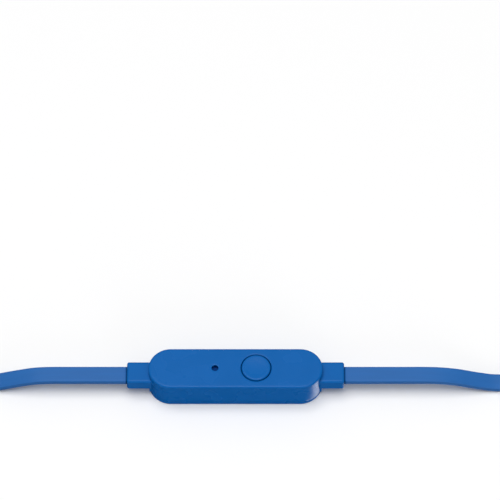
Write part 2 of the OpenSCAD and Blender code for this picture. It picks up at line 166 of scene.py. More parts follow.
# The tail from a hank's way out down to the plug, counted from that way out
TAIL = [
    (0, HANK_R, HIGH_Z, 90),
    (3, HANK_R - 0.1, HIGH_Z - 0.25, 90),
    (5.5, HANK_R - 0.6, HIGH_Z - 1.1, 90),
    (8, HANK_R - 1.4, HIGH_Z - 2.2, 90),
    (10.5, HANK_R - 2.1, PLUG_Z + 0.15, 90),
    (13, PLUG_Y, PLUG_Z, 90),
]
TAIL_RUN = 13
PLUG_RELIEF_LEN = 8
GRIP_LEN = 16
PIN_R = 1.75
PIN_LEN = 14


# ---- Camera ----


def add_camera():
    """A long lens that looks down at the pod, aimed so that it sits low in the picture."""
    elevation = math.radians(58.7)
    distance = 900.0
    view_width = 111.1
    right_of_middle = -3.2
    below_middle = 28.1
    pod = Vector((0, 0, POD_TOP / 2))
    data = bpy.data.cameras.new("camera")
    data.sensor_width = 36
    data.lens = data.sensor_width * distance / view_width
    data.clip_start = 0.01
    data.clip_end = 20
    cam = bpy.data.objects.new("camera", data)
    bpy.context.scene.collection.objects.link(cam)
    back = Vector((0, -math.cos(elevation), math.sin(elevation)))
    up = Vector((0, math.sin(elevation), math.cos(elevation)))
    aim = pod - right_of_middle * Vector((1, 0, 0)) + below_middle * up
    cam.location = (aim + back * distance) * MM
    cam.rotation_euler = (math.pi / 2 - elevation, 0, 0)
    bpy.context.scene.camera = cam


add_camera()


# ---- Materials ----


def clear_material(name):
    """A new material, with its nodes, its links and its shader."""
    mat = bpy.data.materials.new(name)
    mat.use_nodes = True
    nodes = mat.node_tree.nodes
    return mat, nodes, mat.node_tree.links, nodes["Principled BSDF"]


def noise(nodes, links, scale, detail=3.0, stretch=(1, 1, 1)):
    """Noise whose grains are about 1/scale metres across, stretched along the axes."""
    coord = nodes.new("ShaderNodeTexCoord")
    mapping = nodes.new("ShaderNodeMapping")
    mapping.inputs["Scale"].default_value = stretch
    tex = nodes.new("ShaderNodeTexNoise")
    tex.inputs["Scale"].default_value = scale
    tex.inputs["Detail"].default_value = detail
    links.new(coord.outputs["Object"], mapping.inputs["Vector"])
    links.new(mapping.outputs["Vector"], tex.inputs["Vector"])
    return tex


def ramp(nodes, links, source, low, high, start=0.3, end=0.7):
    """Spreads a 0 to 1 value between two colours."""
    node = nodes.new("ShaderNodeValToRGB")
    node.color_ramp.elements[0].position = start
    node.color_ramp.elements[1].position = end
    node.color_ramp.elements[0].color = (*low, 1)
    node.color_ramp.elements[1].color = (*high, 1)
    links.new(source, node.inputs["Fac"])
    return node.outputs["Color"]


def spread(nodes, links, source, low, high):
    """Spreads a 0 to 1 value between two numbers."""
    node = nodes.new("ShaderNodeMapRange")
    node.inputs["From Min"].default_value = 0.3
    node.inputs["From Max"].default_value = 0.7
    node.inputs["To Min"].default_value = low
    node.inputs["To Max"].default_value = high
    links.new(source, node.inputs["Value"])
    return node.outputs["Result"]


def bump(nodes, links, height, bsdf, depth):
    """A bump of the given depth in millimetres."""
    node = nodes.new("ShaderNodeBump")
    node.inputs["Strength"].default_value = 1.0
    node.inputs["Distance"].default_value = depth * MM
    links.new(height, node.inputs["Height"])
    links.new(node.outputs["Normal"], bsdf.inputs["Normal"])


def shade(colour, factor):
    """A colour made lighter or darker."""
    return tuple(min(1.0, c * factor) for c in colour)


def moulded(name, colour, rough, grain=4500, depth=0.004, mottle=0.03, coat=0.0, spec=0.5):
    """Moulded plastic or rubber: a fine grain depth mm deep, faint mottle and uneven gloss."""
    mat, nodes, links, bsdf = clear_material(name)
    fine = noise(nodes, links, grain, 2.0)
    broad = noise(nodes, links, 160, 2.0)
    colour_out = ramp(
        nodes, links, broad.outputs["Fac"], shade(colour, 1 - mottle), shade(colour, 1 + mottle)
    )
    links.new(colour_out, bsdf.inputs["Base Color"])
    rough_out = spread(nodes, links, broad.outputs["Fac"], rough - 0.03, rough + 0.03)
    links.new(rough_out, bsdf.inputs["Roughness"])
    bsdf.inputs["Specular IOR Level"].default_value = spec
    bsdf.inputs["Coat Weight"].default_value = coat
    bsdf.inputs["Coat Roughness"].default_value = 0.12
    bump(nodes, links, fine.outputs["Fac"], bsdf, depth)
    return mat


def metal(name, colour, rough, stretch=(1, 1, 1), scale=900, metallic=1.0):
    """Metal with fine marks, stretched along the way it was turned or rolled."""
    mat, nodes, links, bsdf = clear_material(name)
    marks = noise(nodes, links, scale, 4.0, stretch)
    bsdf.inputs["Metallic"].default_value = metallic
    links.new(
        ramp(nodes, links, marks.outputs["Fac"], shade(colour, 0.9), shade(colour, 1.06)),
        bsdf.inputs["Base Color"],
    )
    links.new(
        spread(nodes, links, marks.outputs["Fac"], rough * 0.7, rough * 1.4),
        bsdf.inputs["Roughness"],
    )
    bump(nodes, links, marks.outputs["Fac"], bsdf, 0.003)
    return mat


def jacket_material():
    """Soft cable jacket: matte, with faint draw lines along it and a fine skin.

    The sweep's UVs run once around the cable in u, and a centimetre along it for each unit of v.
    """
    mat, nodes, links, bsdf = clear_material("cable_jacket")
    uv = nodes.new("ShaderNodeUVMap")
    uv.uv_map = "UVMap"
    mapping = nodes.new("ShaderNodeMapping")
    mapping.inputs["Scale"].default_value = (60, 0.6, 1)
    lines = nodes.new("ShaderNodeTexNoise")
    lines.inputs["Scale"].default_value = 1.0
    lines.inputs["Detail"].default_value = 3.0
    links.new(uv.outputs["UV"], mapping.inputs["Vector"])
    links.new(mapping.outputs["Vector"], lines.inputs["Vector"])
    links.new(
        ramp(nodes, links, lines.outputs["Fac"], shade(CABLE_BLUE, 0.94), shade(CABLE_BLUE, 1.05)),
        bsdf.inputs["Base Color"],
    )
    links.new(spread(nodes, links, lines.outputs["Fac"], 0.44, 0.54), bsdf.inputs["Roughness"])
    skin = noise(nodes, links, 3500, 2.0)
    add = nodes.new("ShaderNodeMath")
    add.operation = "ADD"
    links.new(lines.outputs["Fac"], add.inputs[0])
    links.new(skin.outputs["Fac"], add.inputs[1])
    bsdf.inputs["Specular IOR Level"].default_value = 0.3
    bump(nodes, links, add.outputs["Value"], bsdf, 0.005)
    return mat


def woven(name, colour, pitch, sheen):
    """Woven strap or mesh, with its threads pitch millimetres apart."""
    band = 0.314  # metres from one band of a wave texture to the next, at scale 1
    mat, nodes, links, bsdf = clear_material(name)
    coord = nodes.new("ShaderNodeTexCoord")
    # Turned about X so that the cross threads show on level and on upright faces alike
    turned = nodes.new("ShaderNodeMapping")
    turned.inputs["Rotation"].default_value = (math.pi / 4, 0, 0)
    turned.inputs["Scale"].default_value = (1, math.sqrt(2), 1)
    turned.vector_type = "TEXTURE"
    links.new(coord.outputs["Object"], turned.inputs["Vector"])
    waves = []
    for direction in ("X", "Y"):
        wave = nodes.new("ShaderNodeTexWave")
        wave.bands_direction = direction
        wave.inputs["Scale"].default_value = band / (pitch * MM)
        wave.inputs["Distortion"].default_value = 0.4
        links.new(turned.outputs["Vector"], wave.inputs["Vector"])
        waves.append(wave)
    weave = nodes.new("ShaderNodeMath")
    weave.operation = "MULTIPLY"
    links.new(waves[0].outputs["Fac"], weave.inputs[0])
    links.new(waves[1].outputs["Fac"], weave.inputs[1])
    dark, light = shade(colour, 0.5), shade(colour, 1.6)
    links.new(
        ramp(nodes, links, weave.outputs["Value"], dark, light, start=0.1, end=0.8),
        bsdf.inputs["Base Color"],
    )
    bsdf.inputs["Roughness"].default_value = 0.85
    bsdf.inputs["Specular IOR Level"].default_value = 0.15
    bsdf.inputs["Sheen Weight"].default_value = sheen
    bump(nodes, links, weave.outputs["Value"], bsdf, 0.05)
    return mat


BLUE = (0.001, 0.108, 0.385)
CABLE_BLUE = (0.012, 0.118, 0.381)
RELIEF_BLUE = (0.001, 0.108, 0.38)

MATERIALS = {
    "shell_plastic": moulded("shell_plastic", BLUE, 0.27, spec=0.14),
    "button_plastic": moulded("button_plastic", shade(BLUE, 1.02), 0.27, spec=0.14),
    "relief_rubber": moulded(
        "relief_rubber", RELIEF_BLUE, 0.36, grain=3000, depth=0.006, spec=0.12
    ),
    "cable_jacket": jacket_material(),
    "copper_wire": metal("copper_wire", (0.72, 0.3, 0.12), 0.3, stretch=(0.2, 1, 1)),
    "board_laminate": moulded(
        "board_laminate", (0.01, 0.13, 0.05), 0.3, grain=900, depth=0.01, mottle=0.12, coat=0.4
    ),
    "gold_plate": metal("gold_plate", (0.9, 0.62, 0.25), 0.25),
    "solder": metal("solder", (0.7, 0.7, 0.72), 0.25, scale=2500),
    "switch_metal": metal(
        "switch_metal", (0.68, 0.68, 0.68), 0.3, stretch=(0.1, 1, 1), scale=3000
    ),
    "switch_plastic": moulded(
        "switch_plastic", (0.02, 0.02, 0.022), 0.45, grain=2500, depth=0.006
    ),
    "chip_black": moulded("chip_black", (0.018, 0.018, 0.02), 0.4, grain=4000),
    "chip_tan": moulded(
        "chip_tan", (0.42, 0.29, 0.16), 0.5, grain=4000, depth=0.006, mottle=0.08
    ),
    "mic_aluminium": metal(
        "mic_aluminium", (0.78, 0.79, 0.8), 0.28, stretch=(1, 1, 0.1), scale=2500
    ),
    "mic_film": metal("mic_film", (0.85, 0.68, 0.36), 0.2),
    "boot_rubber": moulded("boot_rubber", (0.02, 0.02, 0.02), 0.6, grain=2500, depth=0.01),
    "mesh_fabric": woven("mesh_fabric", (0.001, 0.06, 0.3), pitch=0.12, sheen=0.0),
    "tie_strap": woven("tie_strap", (0.03, 0.03, 0.034), pitch=0.45, sheen=0.3),
    "plug_plastic": moulded("plug_plastic", shade(BLUE, 0.98), 0.42, grain=3200, depth=0.006),
    "plug_metal": metal(
        "plug_metal", (0.86, 0.84, 0.8), 0.24, stretch=(0.1, 1, 1), scale=6000, metallic=0.85
    ),
    "plug_insulator": moulded(
        "plug_insulator", (0.016, 0.016, 0.018), 0.35, grain=3000, depth=0.003
    ),
}


def dress_cad_nodes():
    """Gives each CAD node that still shows its slot's material."""
    for part in frame["record"]["subparts"]:
        obj = frame["nodes"][part["node"]]
        obj.data.materials.clear()
        obj.data.materials.append(MATERIALS[part["material_slot"]])


dress_cad_nodes()


# ---- Mesh helpers ----


def piece(name, bm, slot, body, *nodes):
    """Turns a bmesh in millimetres into a piece that rides on a body and replaces CAD nodes."""
    bmesh.ops.scale(bm, vec=(MM, MM, MM), verts=bm.verts)
    bmesh.ops.recalc_face_normals(bm, faces=bm.faces)
    mesh = bpy.data.meshes.new(name)
    bm.to_mesh(mesh)
    bm.free()
    obj = bpy.data.objects.new(name, mesh)
    bpy.context.scene.collection.objects.link(obj)
    mesh.materials.append(MATERIALS[slot])
    mesh.shade_smooth()
    weigh = obj.modifiers.new("even_normals", "WEIGHTED_NORMAL")
    weigh.keep_sharp = True
    weigh.weight = 100
    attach(obj, body)
    if nodes:
        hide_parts(*nodes)
    return obj


def join_rings(bm, rings, closed=False):
    """Faces between rings of equal length. Each ring is a list of bmesh vertices."""
    pairs = list(zip(rings, rings[1:]))
    if closed:
        pairs.append((rings[-1], rings[0]))
    for a, b in pairs:
        n = len(a)
        for k in range(n):
            bm.faces.new((a[k], a[(k + 1) % n], b[(k + 1) % n], b[k]))


def add_ring(bm, points):
    """A loop of vertices for join_rings."""
    return [bm.verts.new(p) for p in points]


def arc(cx, cz, r, start, end, steps):
    """Points on an arc in a section, angles in degrees."""
    angles = [math.radians(start + (end - start) * k / steps) for k in range(steps + 1)]
    return [(cx + r * math.cos(a), cz + r * math.sin(a)) for a in angles]


def stadium(radius, z, steps=40):
    """Points around the pod's outline, or inside it by a smaller end radius."""
    points = []
    for side, start in ((1, -90), (-1, 90)):
        for k in range(steps + 1):
            a = math.radians(start + 180 * k / steps)
            points.append((side * END_X + radius * math.cos(a), radius * math.sin(a), z))
    return points


def circle(cx, radius, z, steps=64):
    """Points around (cx, 0)."""
    angles = [2 * math.pi * k / steps for k in range(steps)]
    return [(cx + radius * math.cos(a), radius * math.sin(a), z) for a in angles]


def fill_between(bm, outer, holes):
    """A flat face between an outer ring and the rings of its holes, all at one height."""
    rings = [outer, *holes]
    verts = [v for ring in rings for v in ring]
    edges = []
    start = 0
    for ring in rings:
        n = len(ring)
        edges += [(start + k, start + (k + 1) % n) for k in range(n)]
        start += n
    flat = [Vector((v.co.x, v.co.y)) for v in verts]
    _, _, faces, origins, _, _ = delaunay_2d_cdt(flat, edges, [], 0, 1e-6)
    centres = [(sum((v.co for v in h), Vector()) / len(h), h[0]) for h in holes]
    for face in faces:
        corners = [verts[origins[i][0]] for i in face]
        middle = sum((c.co for c in corners), Vector()) / 3
        inside = any((middle - c).length < (v.co - c).length * 0.999 for c, v in centres)
        if not inside and len(set(corners)) == 3:
            bm.faces.new(corners)


def add_box(bm, low, high, round_by=0.0):
    """A closed box, with its edges rounded by a bevel."""
    size = [b - a for a, b in zip(low, high)]
    made = bmesh.ops.create_cube(bm, size=1.0)["verts"]
    bmesh.ops.scale(bm, vec=size, verts=made)
    bmesh.ops.translate(bm, vec=[(a + b) / 2 for a, b in zip(low, high)], verts=made)
    if round_by:
        edges = list({e for v in made for e in v.link_edges})
        bmesh.ops.bevel(
            bm, geom=edges, offset=round_by, segments=3, affect="EDGES", profile=0.5
        )


def lathe(bm, profile, centre, axis=(0, 0, 1), steps=64, closed=False):
    """Turns (radius, height) points about an axis. Points of radius 0 close the ends.

    closed joins the last point to the first, for a tube.
    """
    w = Vector(axis).normalized()
    u = w.orthogonal().normalized()
    v = w.cross(u)
    rings = []
    angles = [2 * math.pi * k / steps for k in range(steps)]
    for r, h in profile:
        base = Vector(centre) + w * h
        if r < 1e-6:
            rings.append(add_ring(bm, [base]))
        else:
            around = [base + r * math.cos(a) * u + r * math.sin(a) * v for a in angles]
            rings.append(add_ring(bm, around))
    pairs = list(zip(rings, rings[1:]))
    if closed:
        pairs.append((rings[-1], rings[0]))
    for a, b in pairs:
        for k in range(steps):
            j = (k + 1) % steps
            corners = (a[k % len(a)], a[j % len(a)], b[j % len(b)], b[k % len(b)])
            corners = list(dict.fromkeys(corners))
            if len(corners) > 2:
                bm.faces.new(corners)


def soft_profile(points, round_by):
    """Rounds the inner corners of a section line. Each corner keeps clear of its neighbours."""
    steps = 4
    out = [points[0]]
    for before, at, after in zip(points, points[1:], points[2:]):
        a, p, b = Vector(before), Vector(at), Vector(after)
        reach = min(round_by, (a - p).length * 0.45, (b - p).length * 0.45)
        start, end = p + (a - p).normalized() * reach, p + (b - p).normalized() * reach
        for k in range(steps + 1):
            t = k / steps
            q = (1 - t) ** 2 * start + 2 * t * (1 - t) * p + t**2 * end
            out.append((q.x, q.y))
    out.append(points[-1])
    return out


def rounded_rect(wid, thk, r, steps=5):
    """Points around a rounded rectangle about (0, 0)."""
    points = []
    for cx, cy, start in (
        (wid / 2 - r, thk / 2 - r, 0),
        (r - wid / 2, thk / 2 - r, 90),
        (r - wid / 2, r - thk / 2, 180),
        (wid / 2 - r, r - thk / 2, 270),
    ):
        points += arc(cx, cy, r, start, start + 90, steps)
    return points


# ---- Pod ----


def build_shell():
    """The upper shell, with its two holes, its board posts and its end windows.

    Extra rings just inside each edge keep the smooth shading flat up to the edge.
    """
    bm = bmesh.new()
    r = POD_WID / 2
    wall_keep, top_keep = 0.4, 0.3
    outside = [(r - SEAM_CHAMFER, SEAM_TOP), (r, SEAM_TOP + SEAM_CHAMFER)]
    outside += [(r, SEAM_TOP + wall_keep), (r, POD_TOP - TOP_ROUND - wall_keep)]
    outside += arc(r - TOP_ROUND, POD_TOP - TOP_ROUND, TOP_ROUND, 0, 90, 8)
    outside += [(r - TOP_ROUND - top_keep, POD_TOP)]
    rings = [add_ring(bm, stadium(radius, z)) for radius, z in outside]
    roof = POD_TOP - WALL
    room_r = r - WALL
    inside = [add_ring(bm, stadium(room_r, z)) for z in (SEAM_TOP, roof)]
    join_rings(bm, rings)
    join_rings(bm, [rings[0], inside[0]])
    join_rings(bm, inside)
    top_holes, roof_holes = [], []
    for x, radius, edge in ((BUTTON_X, BUTTON_HOLE_R, 0.15), (MIC_X, MIC_HOLE_R, 0.1)):
        rim = [(radius + edge + top_keep, POD_TOP)]
        rim += arc(radius + edge, POD_TOP - edge, edge, 90, 180, 5)
        hole = [add_ring(bm, circle(x, a, z)) for a, z in rim]
        hole.append(add_ring(bm, circle(x, radius, roof)))
        join_rings(bm, hole)
        top_holes.append(hole[0])
        roof_holes.append(hole[-1])
    fill_between(bm, rings[-1], top_holes)
    fill_between(bm, inside[-1], roof_holes)
    # Posts that hold the circuit board down
    post_ht = roof - BOARD_TOP
    post = [(0, 0), (0.42, 0), (0.5, 0.08), (0.5, post_ht), (0, post_ht)]
    for x in (-8.9, 8.9):
        for y in (-2.6, 2.6):
            lathe(bm, post, (x, y, BOARD_TOP), steps=24)
    shell = piece("shell", bm, "shell_plastic", "remote", "upper_shell")
    cut_windows(shell)
    return shell


def cut_windows(shell):
    """Opens the shell's ends for the necks of the strain reliefs."""
    half_wid = 2.35
    top = CABLE_Z + 1.35
    for side in (1, -1):
        bm = bmesh.new()
        xs = sorted((side * 16.0, side * (POD_LEN / 2 + 1)))
        add_box(bm, (xs[0], -half_wid, 0), (xs[1], half_wid, top))
        cutter_mesh = bpy.data.meshes.new("cutter")
        bmesh.ops.scale(bm, vec=(MM, MM, MM), verts=bm.verts)
        bm.to_mesh(cutter_mesh)
        bm.free()
        cutter = bpy.data.objects.new("cutter", cutter_mesh)
        bpy.context.scene.collection.objects.link(cutter)
        cut = shell.modifiers.new("window", "BOOLEAN")
        cut.operation = "DIFFERENCE"
        cut.solver = "EXACT"
        cut.object = cutter
        bpy.context.view_layer.objects.active = shell
        while shell.modifiers[0] != cut:
            bpy.ops.object.modifier_move_up(modifier=cut.name)
        bpy.ops.object.modifier_apply(modifier=cut.name)
        bpy.data.objects.remove(cutter)


def build_cover():
    """The bottom cover: floor, lip inside the shell, ribs under the board, end walls, snaps."""
    bm = bmesh.new()
    r = POD_WID / 2
    lip_out = r - WALL - LIP_GAP
    lip_in = r - WALL - 0.7
    line = [(r - BASE_ROUND - 0.25, 0.0)]
    line += arc(r - BASE_ROUND, BASE_ROUND, BASE_ROUND, -90, 0, 6)
    line += [(r, SEAM_LOW - SEAM_CHAMFER), (r - SEAM_CHAMFER, SEAM_LOW), (lip_out, SEAM_LOW)]
    line += [(lip_out, LIP_TOP - 0.1), (lip_out - 0.1, LIP_TOP), (lip_in + 0.1, LIP_TOP)]
    line += [(lip_in, LIP_TOP - 0.1), (lip_in, SEAM_LOW)]
    rings = [add_ring(bm, stadium(radius, z)) for radius, z in line]
    join_rings(bm, rings)
    fill_between(bm, rings[0], [])
    fill_between(bm, rings[-1], [])
    edge = 0.08
    for x in (-10, -3.3, 3.3, 10):
        add_box(bm, (x - 0.5, -2.9, SEAM_LOW), (x + 0.5, 2.9, 2.6), edge)
    for side in (1, -1):
        xs = sorted((side * 18.3, side * 19.15))
        add_box(bm, (xs[0], -2.3, SEAM_LOW), (xs[1], 2.3, 2.9), edge)
        for x in (9, -9):
            ys = sorted((side * lip_out, side * (lip_out + 0.3)))
            add_box(bm, (x - 1, ys[0], 1.45), (x + 1, ys[1], 1.85), edge)
    return piece("cover", bm, "shell_plastic", "remote", "bottom_cover")


def build_button():
    """The cap: slightly dished on top, with a flange under the roof and a nub on the stem."""
    bm = bmesh.new()
    edge = 0.3
    dish, dish_r = 0.07, 2.7
    profile = [(0, CAP_TOP - dish)]
    profile += [
        (r, CAP_TOP - dish * (1 - (r / dish_r) ** 2)) for r in (0.5, 1.0, 1.5, 2.0, 2.4, dish_r)
    ]
    profile += arc(CAP_R - edge, CAP_TOP - edge, edge, 90, 0, 7)
    # The flange, the hollow under the cap and the nub in its middle
    profile += [(CAP_R, 6.75), (CAP_R + 0.1, 6.65), (3.75, 6.65), (3.8, 6.6), (3.8, 6.1)]
    profile += [(3.75, 6.05), (3.25, 6.05), (3.2, 5.9), (2.6, 5.9), (2.6, 6.9), (1.2, 6.9)]
    profile += [(1.2, 5.95), (0.9, 5.9), (0.9, 5.35), (0.85, 5.3), (0, 5.3)]
    lathe(bm, profile, (BUTTON_X, 0, 0), steps=96)
    return piece("button", bm, "button_plastic", "button", "button_cap")


def build_dome():
    """The switch's snap dome, built at rest; the real one flattens as the button goes down."""
    sheet = 0.08
    inset = 0.9  # how far in the hollow's side is, as a share of the crown's radius
    bm = bmesh.new()
    radii = [DOME_R * k / 12 for k in range(1, 12)]
    crown = [(r, sheet + (DOME_HT - sheet) * (1 - smooth_step(r / DOME_R))) for r in radii]
    hollow = [(r * inset, z - sheet) for r, z in crown]
    profile = [(0, DOME_HT - sheet), *hollow, (DOME_R * inset, 0), (DOME_R, 0), (DOME_R, sheet)]
    profile += [*reversed(crown), (0, DOME_HT)]
    lathe(bm, profile, (BUTTON_X, 0, DOME_BASE))
    dome = piece("dome", bm, "switch_metal", "remote", "switch_dome")
    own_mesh(dome)
    return dome


def build_relief(side):
    """A strain relief: block outside, neck through the wall, flange inside, slot for the cable."""
    wid, thk, r = RELIEF_WID, RELIEF_THK, RELIEF_ROUND
    end_round = 0.45
    pod_edge = 0.06  # the small rounding against the pod
    inner_x, flange_x = 16.6, 17.25
    start = POD_WID / 2 + 0.02  # just clear of the wall
    flange = (4.6, 3.2, 0.3)
    neck = (4.56, 2.6, 0.3)
    slot = (CABLE_WID + 0.04, CABLE_THK + 0.04, 0.27)

    def section(x, w, t, radius):
        """A section square to the cable."""
        return [(x, y, CABLE_Z + z) for y, z in rounded_rect(w, t, radius, 6)]

    def against_pod(w, t, radius):
        """A section that follows the pod's round end."""
        return [
            (END_X + math.sqrt(start**2 - y**2), y, CABLE_Z + z)
            for y, z in rounded_rect(w, t, radius, 6)
        ]

    rings = [section(inner_x, *flange), section(flange_x, *flange)]
    rings += [section(flange_x + 0.05, *neck), against_pod(*neck)]
    rings += [against_pod(wid - 2 * pod_edge, thk - 2 * pod_edge, r - pod_edge)]
    rings.append([(x + 0.08, y, z) for x, y, z in against_pod(wid, thk, r)])
    rings.append(section(RELIEF_X - end_round - 1.2, wid, thk, r))
    for x, inset in arc(RELIEF_X - end_round, end_round, end_round, -90, 0, 6):
        rings.append(section(x, wid - 2 * inset, thk - 2 * inset, r - inset * 0.6))
    rings.append(section(RELIEF_X, slot[0] + 0.2, slot[1] + 0.2, slot[2] + 0.1))
    rings.append(section(RELIEF_X - 0.1, *slot))
    rings.append(section(inner_x, *slot))
    bm = bmesh.new()
    made = [add_ring(bm, [(side * x, y, z) for x, y, z in ring]) for ring in rings]
    join_rings(bm, made, closed=True)
    name = "right" if side > 0 else "left"
    return piece(f"strain_relief_{name}", bm, "relief_rubber", "remote", f"relief_{name}")


# ---- Flat cable ----

RUN_STEPS = 12
BEND_STEPS = 30


def smooth_step(t):
    """Eases from 0 to 1."""
    return t * t * (3 - 2 * t)


def smooth_route(points):
    """A smooth line through listed points, which starts and ends straight."""
    steps = 8
    line = []
    n = len(points)
    for i in range(n - 1):
        p1, p2 = Vector(points[i]), Vector(points[i + 1])
        along = Vector(((p2 - p1).length, 0, 0, 0))
        p0 = Vector(points[i - 1]) if i else p1 - along
        p3 = Vector(points[i + 2]) if i + 2 < n else p2 + along
        for k in range(steps):
            t = k / steps
            line.append(
                0.5
                * (
                    2 * p1
                    + (p2 - p0) * t
                    + (2 * p0 - 5 * p1 + 4 * p2 - p3) * t**2
                    + (3 * p1 - p0 - 3 * p2 + p3) * t**3
                )
            )
    line.append(Vector(points[-1]))
    return line


def straight(x0, x1, y, z0, z1, steps=RUN_STEPS):
    """A straight run on edge, which may ease from one height to another."""
    return [
        Vector((x0 + (x1 - x0) * k / steps, y, z0 + (z1 - z0) * smooth_step(k / steps), 90))
        for k in range(steps)
    ]


def bend(x, side, r0, r1, z):
    """A half turn about (x, 0): from +y to -y at the far end (side 1), back again at the near."""
    line = []
    for k in range(BEND_STEPS):
        t = k / BEND_STEPS
        r = r0 + (r1 - r0) * smooth_step(t)
        a = math.radians(90 * side - 180 * t)
        line.append(Vector((x + r * math.cos(a), r * math.sin(a), z, 90)))
    return line


def hank_turns(near, span, turns):
    """The wound part: turns spiral in below, climb on the innermost one, and spiral out above."""
    far = near + span
    radii = [HANK_R - k * TURN_PITCH for k in range(turns)]
    line = []
    for k, r in enumerate(radii):
        last = k == turns - 1
        line += straight(near, far, r, LOW_Z, LOW_Z)
        line += bend(far, 1, r, r, LOW_Z)
        if not last:
            line += straight(far, near, -r, LOW_Z, LOW_Z)
            line += bend(near, -1, r, radii[k + 1], LOW_Z)
            continue
        share = span / (span + math.pi * r)  # the straight run's share of the climb
        for j in range(RUN_STEPS):
            t = j / RUN_STEPS
            z = LOW_Z + (HIGH_Z - LOW_Z) * smooth_step(t * share)
            line.append(Vector((far - span * t, -r, z, 90)))
        for j, p in enumerate(bend(near, -1, r, r, LOW_Z)):
            t = share + (1 - share) * j / BEND_STEPS
            p.z = LOW_Z + (HIGH_Z - LOW_Z) * smooth_step(t)
            line.append(p)
    for k in range(turns - 1, 0, -1):
        r, wider = radii[k], radii[k - 1]
        line += straight(near, far, r, HIGH_Z, HIGH_Z)
        line += bend(far, 1, r, wider, HIGH_Z)
        line += straight(far, near, -wider, HIGH_Z, HIGH_Z)
        line += bend(near, -1, wider, wider, HIGH_Z)
    line += straight(near, far + STUB, HANK_R, HIGH_Z, HIGH_Z)
    return line


def cable_line(plan):
    """The whole centreline of one side's cable, drawn towards +x, as (x, y, z, twist)."""
    near, span = plan["near"], plan["span"]
    exit_x = near + span + STUB
    lead = smooth_route(plan["lead"])
    joined = straight(near - STUB, near, HANK_R, LOW_Z, LOW_Z, steps=6)
    tail = smooth_route([(x + exit_x, y, z, a) for x, y, z, a in TAIL])
    return lead[:-1] + joined + hank_turns(near, span, plan["turns"]) + tail


def build_cable(name, plan, side):
    """Sweeps the flat section along its line and returns the piece and its centreline."""
    line = cable_line(plan)
    section = rounded_rect(CABLE_WID, CABLE_THK, r=0.25, steps=4)
    bm = bmesh.new()
    uv = bm.loops.layers.uv.new("UVMap")
    rings, run = [], [0.0]
    for i, p in enumerate(line):
        here = Vector(p[:3])
        before = Vector(line[max(i - 1, 0)][:3])
        after = Vector(line[min(i + 1, len(line) - 1)][:3])
        if i:
            run.append(run[-1] + (here - before).length)
        heading = (after - before).normalized()
        if i in (0, len(line) - 1):
            heading = Vector((1, 0, 0))
        across_flat = Vector((0, 0, 1)).cross(heading).normalized()
        up = heading.cross(across_flat)
        a = math.radians(p[3])
        across = math.cos(a) * across_flat + math.sin(a) * up
        through = heading.cross(across)
        points = [here + q[0] * across + q[1] * through for q in section]
        rings.append(add_ring(bm, [(side * v.x, v.y, v.z) for v in points]))
    n = len(section)
    for i in range(len(rings) - 1):
        for k in range(n):
            j = (k + 1) % n
            face = bm.faces.new((rings[i][k], rings[i][j], rings[i + 1][j], rings[i + 1][k]))
            marks = ((k, run[i]), (k + 1, run[i]), (k + 1, run[i + 1]), (k, run[i + 1]))
            for loop, (u, v) in zip(face.loops, marks):
                loop[uv].uv = (u / n, v / 10)
    bm.faces.new(rings[0])
    bm.faces.new(rings[-1])
    obj = piece(
        f"cable_{name}",
        bm,
        "cable_jacket",
        "remote",
        f"cord_{name}_lead",
        f"cord_{name}_hank",
        f"cord_{name}_tail",
    )
    path = [(side * p[0] * MM, p[1] * MM, p[2] * MM) for p in line]
    return obj, path


def build_tie(name, plan, side):
    """A flat woven strap around the hank, with its end lapped over on top."""
    outer = HANK_R + CABLE_THK / 2
    top = HIGH_Z + CABLE_WID / 2
    mid = side * (plan["near"] + plan["span"] / 2)
    corner = 0.9
    lap_thk = 0.35
    bm = bmesh.new()

    def loop_line(grow):
        """A line around the hank's cross-section, grow millimetres clear of it."""
        wid, low, high = outer + grow, TIE_THK - grow, top + grow
        centre = (low + high) / 2
        return [(y, centre + z) for y, z in rounded_rect(2 * wid, high - low, corner + grow, 6)]

    inner, outside = loop_line(0.02), loop_line(TIE_THK - 0.01)
    half = TIE_WID / 2
    rings = []
    for x, line in ((-half, inner), (half, inner), (half, outside), (-half, outside)):
        rings.append(add_ring(bm, [(mid + x, y, z) for y, z in line]))
    join_rings(bm, rings, closed=True)
    lap_z = top + TIE_THK
    add_box(bm, (mid - half, -8.5, lap_z), (mid + half, 4.5, lap_z + lap_thk), 0.12)
    return piece(f"strap_{name}", bm, "tie_strap", "remote", f"tie_{name}")


# ---- Plugs ----


